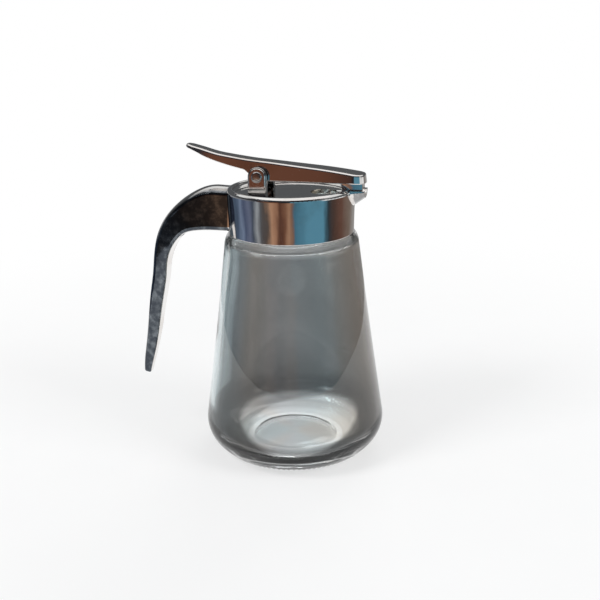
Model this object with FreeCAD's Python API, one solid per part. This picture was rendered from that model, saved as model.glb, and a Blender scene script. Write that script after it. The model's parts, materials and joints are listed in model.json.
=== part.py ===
import FreeCAD, Part
import math
import os

# A glass dispenser bottle for syrup, with a screwed-on pouring top of cast, plated metal.
# Origin: the middle of the foot, on the surface that the jar stands on.  +Z is up,
# +X points to the pouring lip and -X to the handle.  The lever's pin lies along Y.
# Sizes are in millimetres.

# ---- glass jar -------------------------------------------------------------------
JAR_R = 42.3              # radius where the heel meets the cone; it is widest just below
FOOT_R = 23.2             # outer radius of the ring that the jar stands on
FOOT_W = 2.8              # width of that ring
PUNT_H = 1.5              # how far the middle of the foot is hollowed
HEEL_H = 18.0             # height of the rounded heel
SHOULDER_R = 30.6         # radius at the top of the cone
SHOULDER_Z = 101.5        # height of the top of the cone
CONE_HOLLOW = 0.26        # how far the middle of the cone's side falls inside a straight line
SHOULDER_H = 4.1          # height of the rounded shoulder
SHOULDER_STEP = 5.2       # from the top of the cone in to the neck
NECK_H = 16.8             # from the shoulder up to the lip
WALL = 3.0                # side wall
FLOOR_T = 7.0             # thick base
FLOOR_R = 25.5            # flat part of the inside floor
FLOOR_ROUND = 11.5        # height of the rounding between the floor and the wall
NECK_WALL = 3.5
LIP_ROUND = 0.8

# ---- pouring top: collar, rim and deck -------------------------------------------
THREAD_ROOM = 0.9         # room between the neck and the collar's bore
COLLAR_WALL = 2.0         # at the collar's lower edge
COLLAR_DRAFT = 0.5        # how much wider the collar is at the top
COLLAR_LIFT = 0.2         # gap between the shoulder and the collar's lower edge
COLLAR_EDGE = 0.6         # rounding of the lower edge
DECK_T = 1.9              # the plate that closes the jar's mouth
RIM_OUT = 1.8             # outer rounding of the rim
RIM_IN = 0.9              # inner rounding of the rim
RIM_FOOT = 1.2            # hollow rounding from the rim down to the deck

# ---- pouring lip -----------------------------------------------------------------
LIP_REACH = 5.1           # how far the lip stands out from the collar
LIP_DROP = 0.9            # its top edge lies this far below the rim
LIP_ROOT_W = 7.2          # half-width at the collar
LIP_ROOT_D = 7.4          # depth at the collar
LIP_TIP_W = 5.6           # half-width at the tip
LIP_TIP_D = 3.2           # depth at the tip
LIP_WALL = 1.4            # walls beside and under the trough
TROUGH_D = 1.7            # depth of the trough under the lip's top edge
POUR_HOLE_R = 6.2         # round hole through the deck
POUR_HOLE_EDGE = 0.4      # from the hole out to the jar's mouth

# ---- handle ----------------------------------------------------------------------
# Cross-sections from the collar to the tip.  Each has the crown's place and the inner
# face's place, both as (out from the collar's wall, down from the rim), and the width.
HANDLE = (
    ((5.0, 0.2), (5.0, 20.4), 13.2),
    ((11.0, 1.0), (11.0, 20.5), 13.0),
    ((17.2, 3.7), (16.0, 21.0), 12.6),
    ((24.7, 8.9), (21.2, 22.6), 12.0),
    ((31.6, 16.4), (25.7, 26.6), 10.9),
    ((36.0, 25.2), (29.2, 32.2), 9.6),
    ((38.4, 36.4), (31.2, 39.4), 8.6),
    ((41.0, 51.4), (33.8, 53.2), 7.6),
    ((43.6, 66.8), (37.0, 68.0), 6.6),
    ((46.2, 82.2), (40.7, 83.4), 5.2),
    ((47.7, 93.4), (43.9, 94.2), 3.9),
)
HANDLE_CROWN = 0.27       # height of the crown's dome, as a share of the width
HANDLE_EDGE = 0.16        # rounding of the inner edges, as a share of the width
HANDLE_SINK = 0.1         # the first section lies this far under the rim
HANDLE_TIP = 1.5          # length of the rounded end past the last section

# ---- lever -----------------------------------------------------------------------
PIN_X = -13.4             # place of the pin
PIN_ABOVE_RIM = 5.1
NOSE_R = 13.0             # rounding of the nose, seen from above
NOSE_OVER = 5.4           # how far the nose stands out from the collar
THUMB_R = 6.2             # rounding of the thumb end
THUMB_OVER = 19.2         # how far the thumb end stands out from the collar
LEVER_WALL = 1.6
LEVER_EDGE = 1.0          # rounding of the top edge
LEVER_CAMBER = 50.0       # radius of the top's arch from side to side
# Top line: (share of the length from thumb end to nose, height above the rim).
LEVER_TOP = ((0.0, 19.2), (0.1, 17.2), (0.19, 15.2), (0.3, 13.7), (0.5, 12.1), (0.75, 9.9), (1.0, 6.8))
# Lower edge of the skirt between the thumb end and the pin, measured the same way.
THUMB_EDGE = ((0.0, 17.3), (0.085, 14.8), (0.16, 12.3), (0.25, 10.3), (0.36, 8.1))
SKIRT_ABOVE_RIM = 3.7     # lower edge of the skirt in front of the pin
NOSE_DIP = 1.3            # how much lower it is at the nose
NOSE_DIP_LENGTH = 10.0
LUG_R = 3.5               # skirt round the pin
LUG_BOSS = 1.4            # extra thickness of the skirt there
PLUG_GAP = 0.35           # room round the plug that closes the trough
PLUG_BACK = 9.2           # length of the plug
PLUG_SETBACK = 1.2        # its front face lies this far behind the lip's tip

# ---- hinge -----------------------------------------------------------------------
PIN_R = 1.6
PIN_RUNNING_GAP = 0.05    # radial, in the lever
PIN_SEAT_GAP = 0.02       # radial, in the ears
PIN_HEAD_R = 2.55
PIN_HEAD_T = 0.7
EAR_GAP = 0.4             # between the lever's side and an ear
EAR_T = 3.0
EAR_R = 4.1               # arched top
EAR_PAD = 0.6             # raised pad round the pin
EAR_PAD_R = 3.5
EAR_PAD_CHAMFER = 0.35
EAR_PAD_DROP = 3.9        # from the pin down to the pad's lower edge
EAR_FOOT_OUT = 1.0        # foot that stands out under the pad
EAR_FOOT_H = 2.4

# ---- sizes worked out from those -------------------------------------------------
NECK_R = SHOULDER_R - SHOULDER_STEP
MOUTH_R = NECK_R - NECK_WALL
SHOULDER_TOP = SHOULDER_Z + SHOULDER_H
JAR_TOP = SHOULDER_TOP + NECK_H
COLLAR_BORE = NECK_R + THREAD_ROOM
COLLAR_FOOT_R = COLLAR_BORE + COLLAR_WALL
COLLAR_R = COLLAR_FOOT_R + COLLAR_DRAFT
COLLAR_Z = SHOULDER_TOP + COLLAR_LIFT
DECK_Z = JAR_TOP + DECK_T
RIM_Z = DECK_Z + RIM_IN + RIM_FOOT
LIP_Z = RIM_Z - LIP_DROP
LIP_X = COLLAR_R + LIP_REACH
PIN_Z = RIM_Z + PIN_ABOVE_RIM
NOSE_X = COLLAR_R + NOSE_OVER
THUMB_X = -(COLLAR_R + THUMB_OVER)
LEVER_L = NOSE_X - THUMB_X
FAR = 40.0                # a reach past every piece that a cutter passes through

ROUND = 0.5523            # makes a cubic curve follow a quarter of an ellipse


def at(x, z, y=0.0):
    """A point given by its distance along X (or from the axis) and its height."""
    return FreeCAD.Vector(x, y, z)


def straight(a, b):
    return Part.LineSegment(a, b).toShape()


def curve(*poles):
    """A smooth curve that starts towards its second pole and ends from the last but one."""
    bezier = Part.BezierCurve()
    bezier.setPoles(list(poles))
    return bezier.toShape()


def quarter(a, corner, b):
    """A quarter of an ellipse from a to b, inside their common corner."""
    return curve(a, a + (corner - a) * ROUND, b + (corner - b) * ROUND, b)


def through(points):
    """A smooth curve through some points."""
    spline = Part.BSplineCurve()
    spline.interpolate(list(points))
    return spline.toShape()


def turned(edges):
    """The solid that a closed outline in the XZ plane makes when it turns about the axis."""
    face = Part.Face(Part.Wire(edges))
    return face.revolve(FreeCAD.Vector(0, 0, 0), FreeCAD.Vector(0, 0, 1), 360)


def slab(edges, direction):
    """A flat closed outline pushed out along a direction."""
    return Part.Face(Part.Wire(edges)).extrude(direction)


def upright(edges, half_width):
    """A closed outline in the XZ plane pushed out to both sides of that plane."""
    solid = slab(edges, FreeCAD.Vector(0, 2 * half_width, 0))
    solid.translate(FreeCAD.Vector(0, -half_width, 0))
    return solid


def single(shape):
    """The one solid of a joined shape, with faces of the same surface merged."""
    return shape.removeSplitter().Solids[0]


def cone_r(z):
    """Radius of a straight line from the heel to the shoulder, carried on past its ends."""
    share = (z - HEEL_H) / (SHOULDER_Z - HEEL_H)
    return JAR_R + (SHOULDER_R - JAR_R) * share


def beyond(a, b, z):
    """The point at height z on the straight line through a and b."""
    return at(a.x + (b.x - a.x) * (z - a.z) / (b.z - a.z), z)


def glass_jar():
    """The jar: a thick foot, a rounded heel, a cone, a shoulder and a plain neck."""
    lean = math.cos(math.atan2(JAR_R - SHOULDER_R, SHOULDER_Z - HEEL_H))
    inset = WALL / lean
    middle_z = (HEEL_H + SHOULDER_Z) / 2
    foot_in = FOOT_R - FOOT_W
    neck_round = THREAD_ROOM + 0.7
    neck_foot = NECK_R + neck_round

    # outside, from the middle of the foot up to the lip
    foot = at(FOOT_R, 0)
    heel = at(JAR_R, HEEL_H)
    waist = at(cone_r(middle_z) - 2 * CONE_HOLLOW, middle_z)
    shoulder = at(SHOULDER_R, SHOULDER_Z)
    ledge = at(neck_foot + neck_round, SHOULDER_TOP)
    outside = [
        curve(at(0, PUNT_H), at(foot_in * 0.7, PUNT_H), at(foot_in, 0)),
        straight(at(foot_in, 0), foot),
        quarter(foot, beyond(waist, heel, 0), heel),
        curve(heel, waist, shoulder),
        quarter(shoulder, beyond(waist, shoulder, SHOULDER_TOP), ledge),
        straight(ledge, at(neck_foot, SHOULDER_TOP)),
        quarter(at(neck_foot, SHOULDER_TOP), at(NECK_R, SHOULDER_TOP), at(NECK_R, SHOULDER_TOP + neck_round)),
        straight(at(NECK_R, SHOULDER_TOP + neck_round), at(NECK_R, JAR_TOP - LIP_ROUND)),
        quarter(at(NECK_R, JAR_TOP - LIP_ROUND), at(NECK_R, JAR_TOP), at(NECK_R - LIP_ROUND, JAR_TOP)),
    ]

    # inside, from the lip down to the floor
    top_z = SHOULDER_Z - 0.5
    ceiling_z = SHOULDER_TOP - WALL
    floor_z = FLOOR_T + FLOOR_ROUND
    inner_waist = at(waist.x - inset, middle_z)
    inner_top = at(cone_r(top_z) - inset, top_z)
    inner_foot = at(cone_r(floor_z) - inset, floor_z)
    step = (inner_top.x - MOUTH_R) / 2
    inner_ledge = at(MOUTH_R + step, ceiling_z)
    inside = [
        straight(at(NECK_R - LIP_ROUND, JAR_TOP), at(MOUTH_R + LIP_ROUND, JAR_TOP)),
        quarter(at(MOUTH_R + LIP_ROUND, JAR_TOP), at(MOUTH_R, JAR_TOP), at(MOUTH_R, JAR_TOP - LIP_ROUND)),
        straight(at(MOUTH_R, JAR_TOP - LIP_ROUND), at(MOUTH_R, ceiling_z + step)),
        quarter(at(MOUTH_R, ceiling_z + step), at(MOUTH_R, ceiling_z), inner_ledge),
        quarter(inner_ledge, beyond(inner_waist, inner_top, ceiling_z), inner_top),
        curve(inner_top, inner_waist, inner_foot),
        quarter(inner_foot, beyond(inner_waist, inner_foot, FLOOR_T), at(FLOOR_R, FLOOR_T)),
        straight(at(FLOOR_R, FLOOR_T), at(0, FLOOR_T)),
        straight(at(0, FLOOR_T), at(0, PUNT_H)),
    ]
    return turned(outside + inside)


def collar():
    """The screwed collar, its rolled rim and the sunk deck over the jar's mouth."""
    crest_r = COLLAR_R - RIM_OUT
    edges = [
        straight(at(COLLAR_BORE, COLLAR_Z), at(COLLAR_FOOT_R - COLLAR_EDGE, COLLAR_Z)),
        quarter(at(COLLAR_FOOT_R - COLLAR_EDGE, COLLAR_Z), at(COLLAR_FOOT_R, COLLAR_Z),
                at(COLLAR_FOOT_R, COLLAR_Z + COLLAR_EDGE)),
        straight(at(COLLAR_FOOT_R, COLLAR_Z + COLLAR_EDGE), at(COLLAR_R, RIM_Z - RIM_OUT)),
        quarter(at(COLLAR_R, RIM_Z - RIM_OUT), at(COLLAR_R, RIM_Z), at(crest_r, RIM_Z)),
        quarter(at(crest_r, RIM_Z), at(crest_r - RIM_IN, RIM_Z), at(crest_r - RIM_IN, RIM_Z - RIM_IN)),
        quarter(at(crest_r - RIM_IN, RIM_Z - RIM_IN), at(crest_r - RIM_IN, DECK_Z),
                at(crest_r - RIM_IN - RIM_FOOT, DECK_Z)),
        straight(at(crest_r - RIM_IN - RIM_FOOT, DECK_Z), at(0, DECK_Z)),
        straight(at(0, DECK_Z), at(0, JAR_TOP)),
        straight(at(0, JAR_TOP), at(COLLAR_BORE, JAR_TOP)),
        straight(at(COLLAR_BORE, JAR_TOP), at(COLLAR_BORE, COLLAR_Z)),
    ]
    return turned(edges)


def trough_section(x, half_width, depth, rise=0.0):
    """A U across X: flat on top at the lip's height plus rise, round below."""
    left = FreeCAD.Vector(x, -half_width, LIP_Z)
    right = FreeCAD.Vector(x, half_width, LIP_Z)
    bottom = FreeCAD.Vector(x, 0, LIP_Z - depth)
    left_corner = FreeCAD.Vector(x, -half_width, LIP_Z - depth)
    right_corner = FreeCAD.Vector(x, half_width, LIP_Z - depth)
    up = FreeCAD.Vector(0, 0, rise)
    edges = [quarter(left, left_corner, bottom), quarter(bottom, right_corner, right)]
    if rise:
        edges.append(straight(right, right + up))
        edges.append(straight(right + up, left + up))
        edges.append(straight(left + up, left))
    else:
        edges.append(straight(right, left))
    return Part.Wire(edges)


def pouring_lip():
    """The beak in front of the collar, tapering and rising to its tip."""
    root_x = COLLAR_BORE + COLLAR_WALL / 2
    root = trough_section(root_x, LIP_ROOT_W, LIP_ROOT_D + 0.4)
    tip = trough_section(LIP_X, LIP_TIP_W, LIP_TIP_D)
    return Part.makeLoft([root, tip], True, True)


def trough():
    """The channel from the pour hole over the rim to the tip of the lip."""
    back = trough_section(MOUTH_R - 3.0, LIP_ROOT_W - LIP_WALL, TROUGH_D, FAR / 4)
    front = trough_section(LIP_X + 1.0, LIP_TIP_W - LIP_WALL, TROUGH_D, FAR / 4)
    return Part.makeLoft([back, front], True, True)


def pour_hole():
    """A round hole through the deck, just inside the jar's mouth."""
    return Part.makeCylinder(POUR_HOLE_R, DECK_T + 2, at(MOUTH_R - POUR_HOLE_R - POUR_HOLE_EDGE, JAR_TOP - 1))


def handle_section(crown, inner, width):
    """A D-shaped section: flat sides, a domed crown, a flat inner face with round edges."""
    out = crown - inner
    height = out.Length
    out.normalize()
    across = FreeCAD.Vector(0, 1, 0)
    half = width / 2
    edge = HANDLE_EDGE * width
    side = height - HANDLE_CROWN * width

    def spot(y, up):
        return inner + across * y + out * up

    return Part.Wire([
        straight(spot(-half + edge, 0), spot(half - edge, 0)),
        quarter(spot(half - edge, 0), spot(half, 0), spot(half, edge)),
        straight(spot(half, edge), spot(half, side)),
        quarter(spot(half, side), spot(half, height), spot(0, height)),
        quarter(spot(0, height), spot(-half, height), spot(-half, side)),
        straight(spot(-half, side), spot(-half, edge)),
        quarter(spot(-half, edge), spot(-half, 0), spot(-half + edge, 0)),
    ])


def handle():
    """The horn: level out of the collar, over in an arch, then down to a slim tip."""
    first_width = HANDLE[0][2]
    inside_wall = math.sqrt(COLLAR_FOOT_R ** 2 - (first_width / 2) ** 2)
    root_x = -(COLLAR_BORE + inside_wall) / 2
    drop = HANDLE[0][1][1]
    sections = [handle_section(at(root_x, RIM_Z - HANDLE_SINK), at(root_x, RIM_Z - drop), first_width)]
    for (crown_out, crown_down), (inner_out, inner_down), width in HANDLE:
        crown = at(-(COLLAR_R + crown_out), RIM_Z - crown_down)
        inner = at(-(COLLAR_R + inner_out), RIM_Z - inner_down)
        sections.append(handle_section(crown, inner, width))
    horn = Part.makeLoft(sections, True, False)

    # the rounded end: the last section shrinks along a quarter circle
    across = crown - inner
    middle = inner + across * 0.5
    ahead = FreeCAD.Vector(across.z, 0, -across.x).normalize()
    if ahead.z > 0:
        ahead = ahead * -1
    tip = [sections[-1]]
    for turn in (30, 55, 75):
        size = math.cos(math.radians(turn))
        centre = middle + ahead * (HANDLE_TIP * math.sin(math.radians(turn)))
        tip.append(handle_section(centre + across * (size / 2), centre - across * (size / 2), width * size))
    return horn.fuse(Part.makeLoft(tip, True, False))


def lever_half_width(x):
    """Half-width of the lever: two circles and the straight lines that touch both."""
    nose_x = NOSE_X - NOSE_R
    thumb_x = THUMB_X + THUMB_R
    lean = (NOSE_R - THUMB_R) / (nose_x - thumb_x)
    return (NOSE_R - (nose_x - x) * lean) / math.sqrt(1 - lean ** 2)


def ear_inside():
    """Distance of an ear's inner face from the middle plane."""
    return lever_half_width(PIN_X + EAR_R) + EAR_GAP


def arch(radius, base_z, y, thickness):
    """A plate with a half-round top about the pin's axis, standing on base_z."""
    left = at(PIN_X - radius, PIN_Z, y)
    right = at(PIN_X + radius, PIN_Z, y)
    left_foot = at(PIN_X - radius, base_z, y)
    right_foot = at(PIN_X + radius, base_z, y)
    top = Part.Arc(left, at(PIN_X, PIN_Z + radius, y), right).toShape()
    edges = [straight(left_foot, left), top, straight(right, right_foot), straight(right_foot, left_foot)]
    return slab(edges, FreeCAD.Vector(0, thickness, 0))


def ear(side):
    """One ear of the hinge, on the -Y side (-1) or the +Y side (+1)."""
    inner = ear_inside()
    root = DECK_Z - DECK_T / 2
    plate = arch(EAR_R, root, inner, EAR_T)
    pad = arch(EAR_PAD_R, PIN_Z - EAR_PAD_DROP, inner + EAR_T - 0.5, EAR_PAD + 0.5)
    face = max(pad.Faces, key=lambda f: f.CenterOfMass.y)
    pad = pad.makeChamfer(EAR_PAD_CHAMFER, face.Edges)
    foot_y = inner + EAR_T
    foot = slab([
        straight(at(PIN_X - EAR_R, root, inner), at(PIN_X - EAR_R, root, foot_y + EAR_FOOT_OUT)),
        straight(at(PIN_X - EAR_R, root, foot_y + EAR_FOOT_OUT),
                 at(PIN_X - EAR_R, DECK_Z + EAR_FOOT_H, foot_y + EAR_FOOT_OUT)),
        straight(at(PIN_X - EAR_R, DECK_Z + EAR_FOOT_H, foot_y + EAR_FOOT_OUT),
                 at(PIN_X - EAR_R, DECK_Z + EAR_FOOT_H + EAR_FOOT_OUT * 0.6, foot_y)),
        straight(at(PIN_X - EAR_R, DECK_Z + EAR_FOOT_H + EAR_FOOT_OUT * 0.6, foot_y),
                 at(PIN_X - EAR_R, DECK_Z + EAR_FOOT_H + EAR_FOOT_OUT * 0.6, inner)),
        straight(at(PIN_X - EAR_R, DECK_Z + EAR_FOOT_H + EAR_FOOT_OUT * 0.6, inner),
                 at(PIN_X - EAR_R, root, inner)),
    ], FreeCAD.Vector(2 * EAR_R, 0, 0))
    solid = plate.fuse([pad, foot])
    if side < 0:
        solid = solid.mirror(FreeCAD.Vector(0, 0, 0), FreeCAD.Vector(0, 1, 0))
    return solid


def along_y(radius, start_y, end_y):
    """A round bar on the pin's axis."""
    return Part.makeCylinder(radius, end_y - start_y, at(PIN_X, PIN_Z, start_y), FreeCAD.Vector(0, 1, 0))


def top_casting():
    """Collar, deck, pouring lip, handle and hinge ears, cast in one piece."""
    body = collar().fuse([pouring_lip(), handle(), ear(-1), ear(1)])
    body = body.cut([trough(), pour_hole()])
    body = body.cut(along_y(PIN_R + PIN_SEAT_GAP, -FAR, FAR))
    return single(body)


def lever_outline(inset):
    """The lever seen from above, pulled in by inset: two arcs and two straight sides."""
    nose_r = NOSE_R - inset
    thumb_r = THUMB_R - inset
    nose_x = NOSE_X - NOSE_R
    thumb_x = THUMB_X + THUMB_R
    lean = math.asin((nose_r - thumb_r) / (nose_x - thumb_x))

    def touch(centre_x, radius, side):
        return at(centre_x - radius * math.sin(lean), 0, side * radius * math.cos(lean))

    nose = Part.Arc(touch(nose_x, nose_r, -1), at(nose_x + nose_r, 0), touch(nose_x, nose_r, 1)).toShape()
    thumb = Part.Arc(touch(thumb_x, thumb_r, 1), at(thumb_x - thumb_r, 0), touch(thumb_x, thumb_r, -1)).toShape()
    return [
        nose,
        straight(touch(nose_x, nose_r, 1), touch(thumb_x, thumb_r, 1)),
        thumb,
        straight(touch(thumb_x, thumb_r, -1), touch(nose_x, nose_r, -1)),
    ]


def lever_column(inset):
    """The lever's outline carried straight up, from under the deck to above the lever."""
    column = slab(lever_outline(inset), FreeCAD.Vector(0, 0, 2 * FAR))
    column.translate(FreeCAD.Vector(0, 0, RIM_Z - FAR))
    return column


def under_top(drop):
    """The space under the lever's arched top, which is lowered by drop."""
    half = NOSE_R + 2
    sections = []
    for share, height in LEVER_TOP:
        stretched = 0.5 + (share - 0.5) * (1 + 4 / LEVER_L)
        x = THUMB_X + stretched * LEVER_L
        z = RIM_Z + height - drop
        radius = LEVER_CAMBER - drop
        side_z = z - radius + math.sqrt(radius ** 2 - half ** 2)
        left = at(x, side_z, -half)
        right = at(x, side_z, half)
        left_foot = at(x, RIM_Z - FAR / 2, -half)
        right_foot = at(x, RIM_Z - FAR / 2, half)
        crown = Part.Arc(left, at(x, z), right).toShape()
        sections.append(Part.Wire([crown, straight(right, right_foot), straight(right_foot, left_foot),
                                   straight(left_foot, left)]))
    return Part.makeLoft(sections, True, False)


def over_skirt_edge():
    """The space above the lever's lower edge, with the round lug about the pin."""
    edge = [at(THUMB_X + share * LEVER_L, RIM_Z + height) for share, height in THUMB_EDGE]
    skirt_z = RIM_Z + SKIRT_ABOVE_RIM
    dip_x = NOSE_X - NOSE_DIP_LENGTH
    front = at(NOSE_X + 2, skirt_z - NOSE_DIP)
    back = at(THUMB_X - 2, edge[0].z + 1.2)
    ceiling = RIM_Z + FAR
    edges = [
        straight(back, edge[0]),
        through(edge),
        straight(edge[-1], at(PIN_X - LUG_R, PIN_Z)),
        straight(at(PIN_X - LUG_R, PIN_Z), at(PIN_X + LUG_R, skirt_z)),
        straight(at(PIN_X + LUG_R, skirt_z), at(dip_x, skirt_z)),
        curve(at(dip_x, skirt_z), at(dip_x + NOSE_DIP_LENGTH / 2, skirt_z), front),
        straight(front, at(NOSE_X + 2, ceiling)),
        straight(at(NOSE_X + 2, ceiling), at(THUMB_X - 2, ceiling)),
        straight(at(THUMB_X - 2, ceiling), back),
    ]
    return upright(edges, FAR).fuse(along_y(LUG_R, -FAR, FAR))


def plug():
    """The block under the nose that fills the trough when the lever is down."""
    front_x = LIP_X - PLUG_SETBACK
    back_x = front_x - PLUG_BACK
    sections = []
    for x in (back_x, front_x):
        share = (x - MOUTH_R + 3.0) / (LIP_X + 1.0 - MOUTH_R + 3.0)
        half = LIP_ROOT_W - LIP_WALL + (LIP_TIP_W - LIP_ROOT_W) * share - PLUG_GAP
        sections.append(trough_section(x, half, TROUGH_D - PLUG_GAP, FAR / 4))
    return Part.makeLoft(sections, True, True)


def lever():
    """The lid lever: a shallow upside-down shell with lugs for the pin and a plug."""
    solid = lever_column(0).common(under_top(0)).common(over_skirt_edge())
    top = max(solid.Faces, key=lambda face: face.Area)
    solid = solid.makeFillet(LEVER_EDGE, top.Edges)
    hollow = lever_column(LEVER_WALL).common(under_top(LEVER_WALL))
    shell = solid.cut(hollow)
    half = lever_half_width(PIN_X)
    bosses = along_y(LUG_R, -half + 0.3, half - 0.3).cut(
        along_y(LUG_R + 1, -half + LEVER_WALL + LUG_BOSS, half - LEVER_WALL - LUG_BOSS))
    filled = plug().common(under_top(LEVER_WALL / 2)).common(lever_column(LEVER_WALL / 2))
    shell = shell.fuse([bosses, filled])
    return single(shell.cut(along_y(PIN_R + PIN_RUNNING_GAP, -FAR, FAR)))


def hinge_pin():
    """The pin through both ears, with a round head on each pad."""
    reach = ear_inside() + EAR_T + EAR_PAD
    bar = along_y(PIN_R, -reach, reach)
    heads = []
    for side in (-1, 1):
        near = min(side * reach, side * (reach + PIN_HEAD_T))
        head = along_y(PIN_HEAD_R, near, near + PIN_HEAD_T)
        face = max(head.Faces, key=lambda f: side * f.CenterOfMass.y)
        heads.append(head.makeFillet(PIN_HEAD_T * 0.5, face.Edges))
    return single(bar.fuse(heads))


NODES = {
    "glass_jar": glass_jar,
    "top_casting": top_casting,
    "lever": lever,
    "hinge_pin": hinge_pin,
}

os.makedirs("parts", exist_ok=True)
for name, make in NODES.items():
    shape = make()
    solids = shape.Solids
    box = shape.BoundBox
    print(f"{name}: {len(solids)} solid, valid {shape.isValid()}, volume {shape.Volume / 1000:.2f} cm3, "
          f"x {box.XMin:.1f}..{box.XMax:.1f} y {box.YMin:.1f}..{box.YMax:.1f} z {box.ZMin:.1f}..{box.ZMax:.1f}")
    shape.exportStep(f"parts/{name}.step")
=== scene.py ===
# %% [markdown]
# # A glass syrup dispenser with a plated pouring top
#
# A clear glass jar with a thick foot carries a cast, plated top: a collar, a pouring lip,
# a horn-shaped handle and a spring lever that lids the lip.  The solids come from a CAD
# model, and this lesson dresses them.  The casting keeps its mesh, apart from its ears.
# The jar is drawn again, because glass needs one clean closed surface, with the thread and
# the grip bars that the solid leaves out.  The lever is drawn again too, slimmer than its
# solid and with rounded edges, and so are the ears and the pin that carry it.

# %% Load the frame
import json
import math

import bmesh
import bpy
import numpy as np
from mathutils import Euler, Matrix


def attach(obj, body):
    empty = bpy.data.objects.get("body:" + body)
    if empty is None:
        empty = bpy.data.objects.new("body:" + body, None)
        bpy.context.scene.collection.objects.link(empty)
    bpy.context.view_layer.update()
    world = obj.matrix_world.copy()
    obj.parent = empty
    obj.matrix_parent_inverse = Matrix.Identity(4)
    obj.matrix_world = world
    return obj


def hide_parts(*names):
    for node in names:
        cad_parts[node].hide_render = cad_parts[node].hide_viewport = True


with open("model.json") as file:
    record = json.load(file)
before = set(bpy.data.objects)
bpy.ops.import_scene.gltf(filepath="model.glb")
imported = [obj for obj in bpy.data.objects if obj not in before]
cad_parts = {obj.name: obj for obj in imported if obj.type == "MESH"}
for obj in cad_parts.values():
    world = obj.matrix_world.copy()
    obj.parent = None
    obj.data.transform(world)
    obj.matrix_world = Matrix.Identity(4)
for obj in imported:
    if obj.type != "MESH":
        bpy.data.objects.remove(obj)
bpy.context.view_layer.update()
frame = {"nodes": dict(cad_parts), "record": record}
nodes = frame["nodes"]
MM = 0.001
print("solids:", sorted(nodes))

# %% [markdown]
# ## The camera
#
# A camera is a place, three turns and a lens.  It stands at the lip's side of the bottle,
# a little above the lid, and looks slightly down, so that the top's deck shows as a thin
# sliver and the jar's foot as an open ellipse.  It is made first, because it decides how
# large each detail is on the finished picture.

# %% Camera
lens = bpy.data.cameras.new("view")
lens.lens = 50.56
lens.sensor_width = 36.0
lens.clip_start = 0.01
camera = bpy.data.objects.new("view", lens)
camera.location = (0.08368, -0.36451, 0.19656)
camera.rotation_euler = Euler([math.radians(a) for a in (71.663, 0.925, 12.121)])
bpy.context.scene.collection.objects.link(camera)
bpy.context.scene.camera = camera


# %% [markdown]
# ## Writing shader maths as Python
#
# A node tree is a formula, so it reads best as one.  The class below wraps one output
# socket.  Adding or multiplying two wrapped sockets adds a Math node and wraps its
# result.  Everything that isn't arithmetic, such as a noise or a ramp, comes from the
# one method `node` of the tree, which sets the node's own settings first and then its
# sockets.

# %% The formula helper
class Knob:
    """One output socket of a node, with Python's operators.

    `a + b`, `1 - a`, `a * 2` and `a / b` add a Math node each.
    """

    def __init__(self, tree, socket):
        self.tree, self.socket = tree, socket

    def _maths(self, operation, first, second):
        return self.tree.node("ShaderNodeMath", {"operation": operation}, {0: first, 1: second})

    def __add__(self, other):
        return self._maths("ADD", self, other)

    def __radd__(self, other):
        return self._maths("ADD", other, self)

    def __sub__(self, other):
        return self._maths("SUBTRACT", self, other)

    def __rsub__(self, other):
        return self._maths("SUBTRACT", other, self)

    def __mul__(self, other):
        return self._maths("MULTIPLY", self, other)

    def __rmul__(self, other):
        return self._maths("MULTIPLY", other, self)

    def __truediv__(self, other):
        return self._maths("DIVIDE", self, other)


class Tree:
    """The node tree of one material or of the world, emptied first."""

    def __init__(self, owner):
        owner.use_nodes = True
        self.nodes, self.links = owner.node_tree.nodes, owner.node_tree.links
        self.nodes.clear()

    def node(self, kind, settings=None, sockets=None, out=0):
        """Adds a node: its settings first, then values or links of its input sockets."""
        made = self.nodes.new(kind)
        for name, value in (settings or {}).items():
            if name == "stops":
                ramp = made.color_ramp.elements
                while len(ramp) < len(value):
                    ramp.new(0.5)
                for stop, (place, colour) in zip(ramp, value):
                    stop.position, stop.color = place, (*colour, 1.0)
            else:
                setattr(made, name, value)
        for name, value in (sockets or {}).items():
            if isinstance(value, Knob):
                self.links.new(value.socket, made.inputs[name])
            else:
                made.inputs[name].default_value = value
        return Knob(self, made.outputs[out]) if made.outputs else None

    def mix(self, amount, first, second):
        """A colour that goes from first to second as amount goes from 0 to 1."""
        return self.node("ShaderNodeMix", {"data_type": "RGBA"}, {0: amount, 6: first, 7: second}, out=2)

    def smooth(self, value, low, high):
        """0 below low, 1 above high and a smooth ramp between them."""
        return self.node("ShaderNodeMapRange", {"interpolation_type": "SMOOTHSTEP"},
                         {"Value": value, "From Min": low, "From Max": high})

    def place(self):
        """Object coordinates: metres in the frame, the same in every view."""
        return self.node("ShaderNodeTexCoord", out="Object")

    def noise(self, vector, scale, detail=2.0, roughness=0.5):
        return self.node("ShaderNodeTexNoise", None,
                         {"Vector": vector, "Scale": scale, "Detail": detail, "Roughness": roughness})

    def stretched(self, vector, scale):
        """Coordinates squeezed along an axis, which draws a pattern out along it."""
        return self.node("ShaderNodeMapping", None, {"Vector": vector, "Scale": scale})


def rgb(red, green, blue):
    """A colour written as on a screen, 0 to 255, turned into the linear values of a shader."""
    shares = (np.array([red, green, blue]) / 255.0).clip(0, 1)
    linear = np.where(shares > 0.04045, ((shares + 0.055) / 1.055) ** 2.4, shares / 12.92)
    return (*linear.tolist(), 1.0)


# %% [markdown]
# ## The jar's surface
#
# The jar is a turned body, so one curve says everything about it.  The curve runs from the
# middle of the foot, round the heel, up the long cone, over the shoulder and the neck's
# lip, and back down the inside to the middle of the floor.  Rounded corners are quarters
# of an ellipse.  Turning that closed curve gives the outer and the inner wall as one
# surface, which is what lets light bend correctly through the thick foot.

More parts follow.
